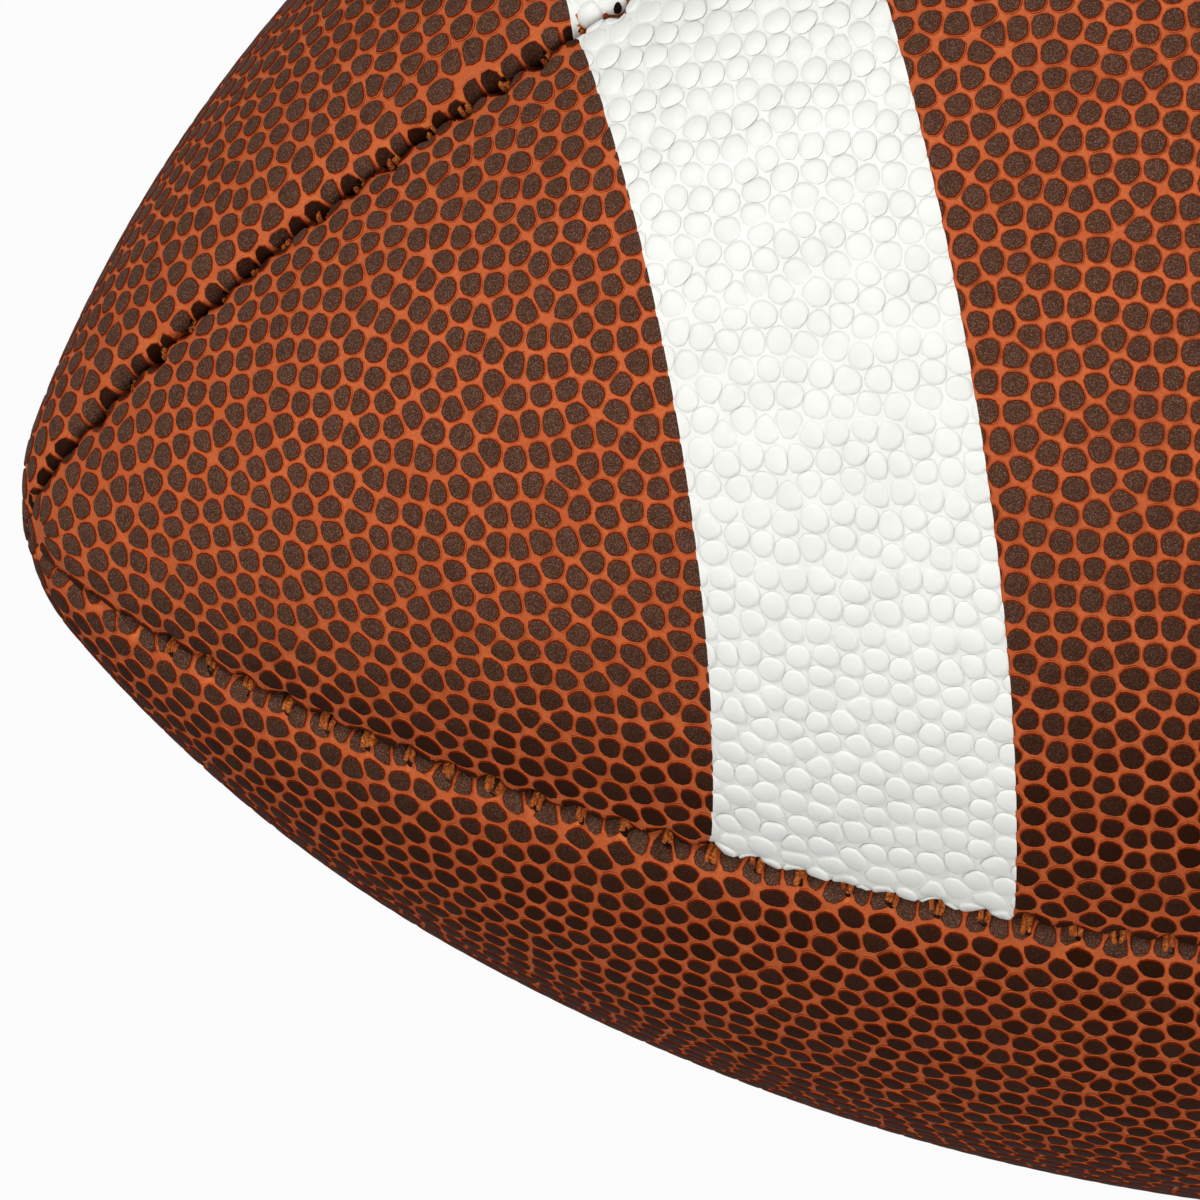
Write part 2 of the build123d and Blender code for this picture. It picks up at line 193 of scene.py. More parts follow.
# How hard the sewing pinches the cover, from none to about 1 at a stitch
def pinchAt(along, across, pucker):
    toEdge = np.maximum(0, edgeAt(along)[0] - np.abs(across))
    sewn, wave = stitchWave(along, across, pucker)
    return sewn * wave * np.exp(-((toEdge / sewing["pinchReach"]) ** 2))


# A point of a panel's outer face: along the ball, and across from the panel's middle round the rolled edge
def coverPoint(along, across, lift=0.0, pucker=None):
    edge, roll = edgeAt(along)
    side = np.where(across < 0, -1.0, 1.0)
    a = np.abs(across)
    start = edge - roll
    turn = np.clip((a - start) / roll, 0, quarterTurn)
    flat = side * (np.minimum(a, start) + roll * np.sin(turn))
    drop = roll * (1 - np.cos(turn)) + np.maximum(0, a - start - roll * quarterTurn)
    step = ball["slopeStep"]
    here = lobePoint(along, flat)
    tangentAcross = unit(lobePoint(along, flat + step) - lobePoint(along, flat - step))
    inner = np.clip(along, -alongEnd, alongEnd)
    tangentAlong = lobePoint(inner + step, flat) - lobePoint(inner - step, flat)
    normal = unit(np.cross(tangentAlong, tangentAcross))
    outward = normal[..., 1:2] * here[..., 1:2] + normal[..., 2:3] * here[..., 2:3]
    normal = normal * np.sign(outward + tiny + normal[..., 0:1] * here[..., 0:1])
    out = np.cos(turn)[..., None] * normal + (np.sin(turn) * side)[..., None] * tangentAcross
    point = here - drop[..., None] * normal
    if pucker is not None:
        toEdge = np.maximum(0, edge - np.abs(flat))
        sewn, wave = stitchWave(along, across, pucker)
        wide = np.exp(-((toEdge / sewing["wideReach"]) ** 2))
        tight = np.exp(-((toEdge / sewing["tightReach"]) ** 2))
        wave = wave * tight * np.minimum(1, edge / sewing["fullEdge"])
        depth = sewing["wideDepth"] * wide + sewing["tightDepth"] * wave
        point = point - (sewn * depth)[..., None] * normal
        point[..., 2] -= side * sewn * sewing["drawnIn"] * wave
    return point + np.asarray(lift)[..., None] * out, out


# Each panel's turn about the ball's axis, and the seams at its two edges
panels = {
    "upper_front": {"turn": 0, "seams": ("top", "front"), "seed": 11},
    "upper_rear": {"turn": -90, "seams": ("rear", "top"), "seed": 23},
    "lower_front": {"turn": 90, "seams": ("front", "bottom"), "seed": 37},
    "lower_rear": {"turn": 180, "seams": ("bottom", "rear"), "seed": 51},
}


# The top seam isn't sewn along the lace opening
def sewnAlong(seam):
    if seam != "top":
        return lambda x: np.ones_like(x)
    fade = ball["openingFade"]
    return lambda x: np.clip((np.abs(x) - ball["openingHalf"] + fade / 2) / fade, 0, 1)


for settings in panels.values():
    settings["pucker"] = [sewnAlong(seam) for seam in settings["seams"]]


# From a panel's own axes, along x, out of its middle and across, to the ball's axes in metres
def toBall(points, turn):
    root = math.sqrt(0.5)
    x, u, v = points[..., 0], points[..., 1], points[..., 2]
    y, z = -root * (u + v), root * (u - v)
    c, s = round(math.cos(math.radians(turn))), round(math.sin(math.radians(turn)))
    return np.stack((x, c * y - s * z, s * y + c * z), -1) * mm


# The map of a panel that its finish is baked through: along it, and across it from edge to edge
def coverMap(along, across):
    full = rollEnd(*edgeAt(along)) + ball["edgeDepth"]
    half = ball["mapHalf"]
    return np.stack((0.5 + half * along / alongEnd, 0.5 + half * np.clip(across / full, -1, 1)), -1)


def newMesh(name, points, faces, uv=None, numbers=None):
    mesh = bpy.data.meshes.new(name)
    loops = np.concatenate([f.ravel() for f in faces])
    sizes = np.concatenate([np.full(len(f), f.shape[1]) for f in faces])
    mesh.vertices.add(len(points))
    mesh.vertices.foreach_set("co", points.astype(np.float32).ravel())
    mesh.loops.add(len(loops))
    mesh.loops.foreach_set("vertex_index", loops.astype(np.int32))
    mesh.polygons.add(len(sizes))
    mesh.polygons.foreach_set("loop_start", np.r_[0, np.cumsum(sizes)[:-1]].astype(np.int32))
    mesh.polygons.foreach_set("loop_total", sizes.astype(np.int32))
    mesh.update(calc_edges=True)
    mesh.polygons.foreach_set("use_smooth", np.ones(len(sizes), bool))
    if uv is not None:
        layer = mesh.uv_layers.new(name="OFBake")
        layer.data.foreach_set("uv", uv[loops].astype(np.float32).ravel())
    for key, values in (numbers or {}).items():
        mesh.attributes.new(key, "FLOAT", "POINT").data.foreach_set("value", values.astype(np.float32))
    mesh.validate()
    return mesh


def newPiece(name, mesh, material, slot, *nodes):
    piece = bpy.data.objects.new(name, mesh)
    bpy.context.scene.collection.objects.link(piece)
    mesh.materials.append(material)
    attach(piece, "root")
    if nodes:
        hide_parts(*nodes)
    return piece


def gridFaces(rows, columns, first=0, flip=False):
    i = np.arange(rows * columns).reshape(rows, columns) + first
    quads = np.stack((i[:-1, :-1], i[1:, :-1], i[1:, 1:], i[:-1, 1:]), -1).reshape(-1, 4)
    return quads[:, ::-1] if flip else quads


def outwardFaces(mesh, closeEnds=False):
    bm = bmesh.new()
    bm.from_mesh(mesh)
    if closeEnds:
        bmesh.ops.holes_fill(bm, edges=[e for e in bm.edges if e.is_boundary], sides=0)
    bmesh.ops.recalc_face_normals(bm, faces=bm.faces)
    bm.to_mesh(mesh)
    bm.free()


# A socket that takes part in Python expressions
class Wire:
    def __init__(self, finish, socket):
        self.finish = finish
        self.socket = socket

    def maths(self, operation, first, second):
        return self.finish.node("Math", {"operation": operation}, {0: first, 1: second})

    def __add__(self, other):
        return self.maths("ADD", self, other)

    def __radd__(self, other):
        return self.maths("ADD", other, self)

    def __mul__(self, other):
        return self.maths("MULTIPLY", self, other)

    def __rmul__(self, other):
        return self.maths("MULTIPLY", other, self)

    def larger(self, other):
        return self.maths("MAXIMUM", self, other)

    def smaller(self, other):
        return self.maths("MINIMUM", self, other)


# A material, and the one method that adds its nodes
class Finish:
    def __init__(self, name, **fixed):
        self.material = bpy.data.materials.new(name)
        self.material.use_nodes = True
        self.tree = self.material.node_tree
        self.shader = self.tree.nodes["Principled BSDF"]
        for socket, value in fixed.items():
            self.shader.inputs[socket.replace("_", " ")].default_value = value

    def node(self, kind, settings=None, values=None, out=0):
        made = self.tree.nodes.new("ShaderNode" + kind)
        for key, value in (settings or {}).items():
            setattr(made, key, value)
        for key, value in (values or {}).items():
            self.set(made.inputs[key], value)
        return Wire(self, made.outputs[out])

    def set(self, socket, value):
        if isinstance(value, Wire):
            self.tree.links.new(value.socket, socket)
        else:
            socket.default_value = value

    def feed(self, **sockets):
        for socket, value in sockets.items():
            self.set(self.shader.inputs[socket.replace("_", " ")], value)
        return self.material

    def place(self):
        return self.node("TexCoord", out="Object")

    def number(self, name):
        return self.node("Attribute", {"attribute_name": name}, out="Fac")

    def noise(self, scale, detail=3.0, roughness=0.6):
        values = {"Vector": self.place(), "Scale": scale, "Detail": detail, "Roughness": roughness}
        return self.node("TexNoise", None, values)

    def ease(self, value, low, high):
        values = {"Value": value, "From Min": low, "From Max": high}
        return self.node("MapRange", {"interpolation_type": "SMOOTHSTEP"}, values)

    def blend(self, share, first, second):
        return self.node("Mix", {"data_type": "RGBA"}, {0: share, 6: first, 7: second}, 2)

    # Lays one colour over another where a value is in a band, up to the most that is given
    def lay(self, under, over, value, low, high, most=1.0):
        share = self.ease(value, low, high)
        return self.blend(share * most if most < 1 else share, under, over)

    # Roughness and bump that follow one grain
    def grained(self, look, colour, grain):
        low, more = look["rough"]
        rough, bump = low + more * grain, self.bump(grain, *look["bump"])
        return self.feed(Base_Color=colour, Roughness=rough, Normal=bump)

    def bump(self, height, strength, distance):
        return self.node("Bump", None, {"Height": height, "Strength": strength, "Distance": distance})


def tone(red, green, blue):
    share = np.array((red, green, blue)) / 255
    linear = np.where(share <= 0.04045, share / 12.92, ((share + 0.055) / 1.055) ** 2.4)
    return (*linear.tolist(), 1.0)


# Colours of the cover: dark pebble tops, paler where a sheen is painted and with pale specks that are partly
# painted glints, orange sides with painted shade at their foot and brow, the ground between the pebbles, and
# the painted shade of the needle holes
leather = {
    "top": tone(44, 19, 7),
    "topPaleAndSheen": tone(80, 49, 36),
    "topSpeckAndGlint": tone(158, 124, 104),
    "browShade": tone(118, 34, 7),
    "rim": tone(206, 104, 54),
    "foot": tone(142, 56, 22),
    "valley": tone(194, 93, 49),
    "valleyDeep": tone(168, 72, 34),
    "valleyPale": tone(210, 110, 62),
    "crease": tone(232, 128, 60),
    "needleHoleShade": tone(34, 14, 7),
}
# In each look a noise is its scale, detail and roughness, and a colour is the band of the value that
# brings it and the most that it covers
valleyLook = {
    "specular": 0.1,
    "fine": (4600, 4, 0.7),
    "broad": (120, 2),
    "pale": (0.38, 0.66),
    "deep": (0.35, 0.7, 0.4),
    "crease": (0.2, 0.8, 0.85),
    "rough": (0.5, 0.2),
    "bump": (0.45, 0.00015),
}


def valleyFinish(look):
    f = Finish("valley_leather", Specular_IOR_Level=look["specular"])
    fine, broad = f.noise(*look["fine"]), f.noise(*look["broad"])
    colour = f.lay(leather["valley"], leather["valleyPale"], fine, *look["pale"])
    colour = f.lay(colour, leather["valleyDeep"], broad, *look["deep"])
    colour = f.lay(colour, leather["crease"], f.number("pinch"), *look["crease"])
    return f.grained(look, colour, fine)


pebbleLook = {
    "specular": 0.015,
    "speckle": (7400, 2, 0.8),
    "cloud": (900, 2),
    "specks": (0.46, 0.68),
    "speckAndGlintShare": (0.03, 0.58),
    "dull": (0.5, 0.75, 0.25),
    "rim": (0.02, 0.14),
    "browShade": (0.2, 0.34),
    "top": (0.52, 0.74),
    "rough": (0.42, 0.25, 0.08),
    "bump": (0.8, 0.0002),
}


# Up a pebble's side the colour goes from a painted shade at its foot to its orange rim, then a painted shadow
# band at its brow, and then to its top
def pebbleFinish(look):
    f = Finish("pebble_leather", Specular_IOR_Level=look["specular"])
    relief, toneAndSheen = f.number("relief"), f.number("toneAndSheen")
    speckle, cloud = f.noise(*look["speckle"]), f.noise(*look["cloud"])
    least, more = look["speckAndGlintShare"]
    top = f.blend(toneAndSheen, leather["top"], leather["topPaleAndSheen"])
    # The pale specks on the tops are partly the leather's own and, more where the sheen is painted, painted
    # glints
    top = f.blend(f.ease(speckle, *look["specks"]) * (least + more * toneAndSheen), top, leather["topSpeckAndGlint"])
    top = f.lay(top, leather["top"], cloud, *look["dull"])
    side = f.lay(leather["foot"], leather["rim"], relief, *look["rim"])
    side = f.lay(side, leather["browShade"], relief, *look["browShade"])
    colour = f.lay(side, top, relief, *look["top"])
    low, speckled, clouded = look["rough"]
    rough = low + speckled * speckle + clouded * cloud
    return f.feed(Base_Color=colour, Roughness=rough, Normal=f.bump(speckle, *look["bump"]))


stripeLook = {
    "specular": 0.35,
    "white": tone(243, 243, 238),
    "grey": tone(234, 235, 229),
    "cloud": (260, 3),
    "fine": (5200, 3),
    "greyed": (0.3, 0.75),
    "worn": (0.86, 1.0, 0.8),
    "rough": (0.42, 0.12),
    "bump": (0.15, 0.00006),
}


def stripeFinish(look):
    f = Finish("stripe_paint", Specular_IOR_Level=look["specular"])
    cloud, fine = f.noise(*look["cloud"]), f.noise(*look["fine"])
    colour = f.lay(look["white"], look["grey"], cloud, *look["greyed"])
    colour = f.lay(colour, leather["foot"], f.number("pinch"), *look["worn"])
    return f.grained(look, colour, fine)


valleyLeather = valleyFinish(valleyLook)
pebbleLeather = pebbleFinish(pebbleLook)
stripePaint = stripeFinish(stripeLook)

# Panel skins: a rolled outer face and a flat inner face, joined into one closed sheet
skin = {
    "alongStep": 0.5,
    "middleRows": 15,
    "edgeRows": 11,
    "edgeBand": 3.6,
    "edgeBandShare": 0.6,
    "edgeBunch": 1.15,
    "innerRows": 9,
    "innerShare": 0.3,
    "thicknessShare": 0.4,
}


def skinRows(along):
    edge, roll = edgeAt(along)
    start = edge - np.minimum(skin["edgeBand"] * roll, skin["edgeBandShare"] * edge)
    end = rollEnd(edge, roll) + ball["edgeDepth"]
    middle = np.linspace(-1, 1, skin["middleRows"])[None, :] * start[:, None]
    share = np.linspace(0, 1, skin["edgeRows"] + 1)[1:]
    outer = start[:, None] + (end - start)[:, None] * share[None, :] ** skin["edgeBunch"]
    return np.concatenate((-outer[:, ::-1], middle, outer), 1)


def skinMesh(place, settings):
    count, innerRows = int(2 * alongEnd / skin["alongStep"]), skin["innerRows"]
    along = np.linspace(-alongEnd, alongEnd, count)
    across = skinRows(along)
    rows = across.shape[1]
    alongGrid = np.repeat(along[:, None], rows, 1)
    outer, _ = coverPoint(alongGrid, across, pucker=settings["pucker"])
    edge, _ = edgeAt(along)
    innerHalf = np.maximum(edge - ball["coverThickness"], skin["innerShare"] * edge)
    innerAcross = np.linspace(-1, 1, innerRows)[None, :] * innerHalf[:, None]
    innerGrid = np.repeat(along[:, None], innerRows, 1)
    thickness = np.minimum(ball["coverThickness"], skin["thicknessShare"] * edge)
    inner, _ = coverPoint(innerGrid, innerAcross, -np.repeat(thickness[:, None], innerRows, 1))
    points = np.concatenate((outer.reshape(-1, 3), inner.reshape(-1, 3)))
    maps = (coverMap(alongGrid, across), coverMap(innerGrid, innerAcross))
    uv = np.concatenate([part.reshape(-1, 2) for part in maps])
    first = count * rows
    o = np.arange(first).reshape(count, rows)
    i = np.arange(count * innerRows).reshape(count, innerRows) + first
    joins = []
    for a, b in ((o[:, -1], i[:, -1]), (i[:, 0], o[:, 0])):
        joins.append(np.stack((a[:-1], a[1:], b[1:], b[:-1]), -1))
    faces = [gridFaces(count, rows), gridFaces(count, innerRows, first, True), *joins]
    pinch = np.r_[pinchAt(alongGrid, across, settings["pucker"]).ravel(), np.zeros(count * innerRows)]
    mesh = newMesh(f"cover_{place}", toBall(points, settings["turn"]), faces, uv, {"pinch": pinch})
    outwardFaces(mesh, closeEnds=True)
    return mesh


for place, settings in panels.items():
    mesh = skinMesh(place, settings)
    settings["skin"] = newPiece(f"cover_{place}", mesh, valleyLeather, "cover_leather", f"panel_{place}")
print("skins:", [len(s["skin"].data.polygons) for s in panels.values()])

# Pebbles: spread over the skin, evened out, each cut from the room its neighbours leave
pebble = {
    "pitch": 2.5,
    "sizeSpread": 0.05,
    "sizeClip": 1.7,
    "scatter": 0.3,
    "rounds": 14,
    "bearings": 12,
    "neighbours": 12,
    "corners": 12,
    "sharpness": 4.6,
    "largest": 1.55,
    "leastWall": 0.3,
    "leastFittingWall": 0.2,
    "leastStretch": 0.25,
    "leastRadius": 0.12,
    "axesStep": 0.1,
    "edgeRows": ((0.25, 0.85), (0.75, 2.9)),  # start along the seam, and place past the roll's start
    "edgeScatter": 0.32,
    "edgeClip": 0.6,
    "edgeRoom": 2.2,
    "narrowest": 2.1,
    "tipRoom": 1.0,
    "firstRow": 0.9,
    "lastRow": 0.8,
    "rowRoom": 0.6,
    "endRoom": 0.5,
    "looseRoom": 1.9,
    "fittingRoom": 0.45,
    "noFitting": 99.0,
    "beyondTip": 200.0,
    "groundFacing": 0.2,
    "randomToneShare": 0.17,
    "sheenWay": (-0.75, -0.12, 0.75),
    "sheenFrom": 0.48,
    "sheenTo": 0.86,
}
# Rings go from a pebble's foot up to its top: inset, height and share of the relief
plainPebble = {
    "gap": 0.06,
    "rings": ((0.0, -0.03, 0.0), (0.15, 0.18, 0.52), (0.28, 0.22, 0.95)),
    "crown": 0.235,
    "lift": 0.0,
}
paintedPebble = {
    "gap": 0.06,
    "rings": ((0.0, 0.0, 0.0), (0.12, 0.11, 0.6), (0.3, 0.17, 0.95)),
    "crown": 0.188,
    "lift": 0.05,
}
# What goes through the cover leaves no room for pebbles; the valve's middle is in metres
valve = {"middle": np.array((0, 0.05798, -0.05798)), "holeRadius": 4.8, "room": 4.9}
lace = {
    "count": 8,
    "pitch": 13.5,
    "reach": 11.0,
    "width": 6.0,
    "thickness": 1.3,
    "centreWidth": 9.0,
    "centreEnd": 56.25,
    "slotGap": 0.3,
    "crossPath": ((11.05, -2.6), (11.05, -0.5), (10.75, 0.5), (9.7, 1.1), (7.8, 1.65), (6.0, 2.35),
                  (4.2, 2.6), (0, 2.62)),
    "centrePath": ((57.0, -2.6), (57.0, -0.6), (56.6, 0.4), (55.4, 0.92), (52.0, 0.95)),
    "crossStations": 24,
    "endStations": 20,
    "middleStations": 80,
    "smoothings": 3,
    "corner": 0.5,
    "cornerSteps": 3,
    "groove": 0.42,
    "grooveShape": ((0.5, 0), (0.12, 0.25), (0, 1), (-0.12, 0.25), (-0.5, 0)),
    "slopeStep": 0.5,
}
lacePlaces = [(i - (lace["count"] - 1) / 2) * lace["pitch"] for i in range(lace["count"])]


# At places on a panel: the point, the two axes in the surface, and how these turn and stretch along the ball
def localAxes(along, across):
    step = pebble["axesStep"]
    point, normal = coverPoint(along, across)
    sideways = unit(coverPoint(along, across + step)[0] - coverPoint(along, across - step)[0])
    forward = (coverPoint(along + step, across)[0] - coverPoint(along - step, across)[0]) / (2 * step)
    ahead = unit(np.cross(sideways, normal))
    ahead = ahead * np.sign(np.sum(ahead * forward, -1, keepdims=True))
    return point, ahead, sideways, np.sum(forward * ahead, -1), np.sum(forward * sideways, -1)


def nearest(points, count):
    tree = kdtree.KDTree(len(points))
    for i, p in enumerate(points):
        tree.insert(p, i)
    tree.balance()
    return np.array([[n[1] for n in tree.find_n(p, count + 1)][1:] for p in points])


# Slots of the lace, each a middle and a half size in x and y
def laceSlots():
    thick, gap = lace["thickness"] / 2, lace["slotGap"]
    slots = [((x, y), (lace["width"] / 2 + gap, thick + gap)) for x in lacePlaces
             for y in (-lace["reach"], lace["reach"])]
    ends = (-lace["centreEnd"] - thick, lace["centreEnd"] + thick)
    return slots + [((x, 0.0), (thick + gap, lace["centreWidth"] / 2 + gap)) for x in ends]


# The way from places on a panel to the nearest edge of a slot or of the valve's hole, in the panel's axes
def fittingOffset(place, points):
    turn = panels[place]["turn"]
    spot = toBall(points, turn) / mm
    back = (toBall(np.eye(3), turn) / mm).T
    if place == "lower_rear":
        way = valve["middle"] / mm - spot
        length = np.linalg.norm(way, axis=1, keepdims=True)
        return way * np.maximum(1 - valve["room"] / length, 0) @ back
    if place == "lower_front":
        return np.full(spot.shape, pebble["noFitting"])
    middles, halves = (np.array(part) for part in zip(*laceSlots()))
    flat = spot[:, None, :2]
    ways = np.clip(flat, middles - halves, middles + halves) - flat
    closest = ways[np.arange(len(spot)), np.argmin(np.linalg.norm(ways, axis=2), 1)]
    return np.c_[closest, np.zeros(len(spot))] @ back


# How far each pebble's room reaches at each angle, up to its neighbours, fittings and the panel's edges
def pebbleRoom(place, along, across, size, angle, near, axes):
    point, ahead, sideways, stretch, slant = axes
    forward = along[near] - along[:, None]
    a, b = forward * stretch[:, None], across[near] - across[:, None] + forward * slant[:, None]
    share = size[:, None] + size[near]
    wall = np.maximum(np.hypot(a, b), pebble["leastWall"]) * size[:, None] / share
    beside = fittingOffset(place, point)
    a = np.c_[a, np.sum(beside * ahead, -1)]
    b = np.c_[b, np.sum(beside * sideways, -1)]
    wall = np.c_[wall, np.maximum(np.linalg.norm(beside, axis=-1), pebble["leastFittingWall"])]
    facing = np.clip(np.cos(angle[:, :, None] - np.arctan2(b, a)[:, None, :]), 0, 1) / wall[:, None, :]
    limit = rollEnd(*edgeAt(along)) + pebble["edgeRoom"]
    sides = []
    for way in (1, -1):
        toEdge = np.maximum(limit - way * across, pebble["leastWall"])
        sides.append(np.clip(way * np.sin(angle), 0, 1) / toEdge[:, None])
    facing = np.concatenate((facing, np.stack(sides, -1)), -1)
    power = pebble["sharpness"]
    return np.minimum((facing**power + tiny).sum(-1) ** (-1 / power), pebble["largest"])


# Two rows of pebbles follow each edge, one on the roll and one down in the seam, two to a stitch
def edgeRows(side):
    half = ball["stitchPitch"] / 2
    rows = []
    for shift, turnedIn in pebble["edgeRows"]:
        along = np.interp(np.arange(half * shift, seamTable[-1], half), seamTable, alongTable)
        along = along[edgeAt(along)[0] > pebble["narrowest"]]
        along = np.r_[-along[::-1], along]
        edge, roll = edgeAt(along)
        rows.append(np.c_[along, side * (edge - roll + turnedIn * roll / ball["edgeRoll"])])
    return rows


# Rows along the edges stay where they are, and the rest start in a triangle grid
def startPebbles():
    pitch = pebble["pitch"]
    rows = [*edgeRows(-1), *edgeRows(1)]
    pinned = sum(len(r) for r in rows)
    first, last = pebble["firstRow"] - alongEnd, alongEnd - pebble["lastRow"]
    for n, a in enumerate(np.arange(first, last, pitch * math.sqrt(3) / 2)):
        edge, roll = edgeAt(np.array(a))
        reach = edge - roll - pebble["rowRoom"] * pitch
        b = np.arange(-reach + pitch * 0.5 * (n % 2), reach, pitch)
        rows.append(np.c_[np.full(len(b), a), b])
    rows.append([(end * (alongEnd - pebble["tipRoom"]), 0) for end in (-1, 1)])
    return np.concatenate(rows), pinned


def spreadPebbles(place, random):
    points, pinned = startPebbles()
    clip = pebble["edgeClip"]
    points[:pinned] += np.clip(random.normal(0, pebble["edgeScatter"], points[:pinned].shape), -clip, clip)
    points[pinned:] += random.normal(0, pebble["scatter"] * pebble["pitch"], points[pinned:].shape)
    clip = pebble["sizeClip"]
    size = 1 + pebble["sizeSpread"] * np.clip(random.normal(0, 1, len(points)), -clip, clip)
    along, across = points.T.copy()
    angle = circleAngles(pebble["bearings"]) + np.zeros((len(along), 1))
    loose = np.arange(len(along)) >= pinned
    end = alongEnd - pebble["endRoom"]
    for n in range(pebble["rounds"]):
        axes = localAxes(along, across)
        if n % 2 == 0:
            near = nearest(axes[0], pebble["neighbours"])
        reach = pebbleRoom(place, along, across, size, angle, near, axes)
        scale = 2 / 3 * loose / (reach**2).sum(1)
        stretch = np.maximum(axes[3], pebble["leastStretch"])
        forward = (reach**3 * np.cos(angle)).sum(1) * scale / stretch
        sideways = (reach**3 * np.sin(angle)).sum(1) * scale
        along = np.clip(along + forward, -end, end)
        across = across + sideways - forward * axes[4]
        edge, roll = edgeAt(along)
        limit = edge - pebble["looseRoom"] * roll
        across = np.where(loose, np.clip(across, -limit, limit), across)
    return along, across, size


def pebbleOutlines(place, along, across, size, random):
    axes = localAxes(along, across)
    near = nearest(axes[0], pebble["neighbours"])
    angle = random.uniform(0, 2 * math.pi, len(along))[:, None] + circleAngles(pebble["corners"])
    return angle, pebbleRoom(place, along, across, size, angle, near, axes), axes[3], axes[4]


def pebbleArrays(along, across, outlines, settings, shape):
    angle, reach, stretch, slant = outlines
    corners = pebble["corners"]
    rings = shape["rings"]
    points, uv, relief = [], [], []
    for inset, height, share in (*rings, (None, shape["crown"], 1.0)):
        if inset is None:
            ringAlong, ringAcross = along[:, None], across[:, None]
        else:
            radius = np.maximum(reach - shape["gap"] / 2 - inset, pebble["leastRadius"])
            forward = radius * np.cos(angle) / np.maximum(stretch, pebble["leastStretch"])[:, None]
            ringAlong = np.clip(along[:, None] + forward, -alongEnd, alongEnd)
            ringAcross = across[:, None] + radius * np.sin(angle) - forward * slant[:, None]
        tall = np.full(ringAlong.shape, height + shape["lift"])
        points.append(coverPoint(ringAlong, ringAcross, tall, settings["pucker"])[0])
        uv.append(coverMap(ringAlong, ringAcross))
        relief.append(np.full(ringAlong.shape, share))
    points = np.concatenate(points, 1)
    k = np.arange(corners)
    after = (k + 1) % corners
    rows = []
    for n in range(len(rings) - 1):
        low, high = n * corners, (n + 1) * corners
        rows.append(np.stack((low + k, low + after, high + after, high + k), -1))
    last = (len(rings) - 1) * corners
    return {
        "points": toBall(points, settings["turn"]),
        "uv": np.concatenate(uv, 1),
        "relief": np.concatenate(relief, 1),
        "quads": np.concatenate(rows),
        "fan": np.stack((last + k, last + after, np.full(corners, len(rings) * corners)), -1),
        "each": points.shape[1],
    }


def pebbleMesh(made, chosen, toneAndSheen):
    points = made["points"][chosen]
    base = (np.arange(len(points)) * made["each"])[:, None, None]
    faces = [(made["quads"][None] + base).reshape(-1, 4), (made["fan"][None] + base).reshape(-1, 3)]
    numbers = {
        "relief": made["relief"][chosen].ravel(),
        "toneAndSheen": np.repeat(toneAndSheen[chosen], made["each"]),
    }
    return newMesh("pebbles", points.reshape(-1, 3), faces, made["uv"][chosen].reshape(-1, 2), numbers)


# Moves a mesh into a bmesh
def addMesh(bm, mesh):
    bm.from_mesh(mesh)
    bpy.data.meshes.remove(mesh)


# Adds what lies between two places along the ball, cut clean through the pebbles
def addSlice(bm, mesh, low, high):
    part = bmesh.new()
    part.from_mesh(mesh)
    for place, way in ((low, -1), (high, 1)):
        geometry = [*part.verts, *part.edges, *part.faces]
        bmesh.ops.bisect_plane(part, geom=geometry, dist=1e-8, plane_co=(place * mm, 0, 0),
                               plane_no=(way, 0, 0), clear_outer=True)
    part.to_mesh(mesh)
    part.free()
    addMesh(bm, mesh)


def slicePebbles(made, toneAndSheen, low, high):
    x = made["points"][..., 0] / mm
    lowest, highest = x.min(1), x.max(1)
    whole = np.where((lowest >= low) & (highest <= high))[0]
    cut = np.where(((lowest < low) & (highest > low)) | ((lowest < high) & (highest > high)))[0]
    bm = bmesh.new()
    if len(whole):
        addMesh(bm, pebbleMesh(made, whole, toneAndSheen))
    if len(cut):
        addSlice(bm, pebbleMesh(made, cut, toneAndSheen), low, high)
    return bm


def joinMesh(name, parts):
    whole = bmesh.new()
    for bm in parts:
        temporary = bpy.data.meshes.new("part")
        bm.to_mesh(temporary)
        bm.free()
        addMesh(whole, temporary)
    mesh = bpy.data.meshes.new(name)
    whole.to_mesh(mesh)
    whole.free()
    mesh.polygons.foreach_set("use_smooth", np.ones(len(mesh.polygons), bool))
    return mesh


# Painted sheen: the tops of pebbles that face up and towards one nose are painted paler, as the light from
# that side makes them look
def paintedSheenAt(along, across, turn):
    facing = toBall(coverPoint(along, across)[1], turn) / mm @ np.array(pebble["sheenWay"])
    share = np.clip((facing - pebble["sheenFrom"]) / (pebble["sheenTo"] - pebble["sheenFrom"]), 0, 1)
    return share * share * (3 - 2 * share)


ends = {"left": -1, "right": 1}


# The paint fills the ground between the pebbles of a stripe, a little above the skin
def paintedGround(skinPiece, low, high):
    bm = bmesh.new()
    addSlice(bm, skinPiece.data.copy(), low, high)
    hidden = []
    for face in bm.faces:
        middle = face.calc_center_median()
        if face.normal.dot(middle * Vector((0, 1, 1))) < pebble["groundFacing"] * middle.length:
            hidden.append(face)
    bmesh.ops.delete(bm, geom=hidden, context="FACES")
    for v in bm.verts:
        v.co += v.normal * paintedPebble["lift"] * mm
    return bm


def addPebbles(place, made, toneAndSheen):
    far = pebble["beyondTip"]
    runs = ((0.0, far),)
    if place.startswith("upper"):
        runs = ((ball["stripeFar"], far), (0.0, ball["stripeNear"]))
    for end, sign in ends.items():
        parts = [slicePebbles(made, toneAndSheen, *sorted((sign * a, sign * b))) for a, b in runs]
        mesh = joinMesh(f"pebbles_{place}_{end}", parts)
        newPiece(f"pebbles_{place}_{end}", mesh, pebbleLeather, "cover_leather")


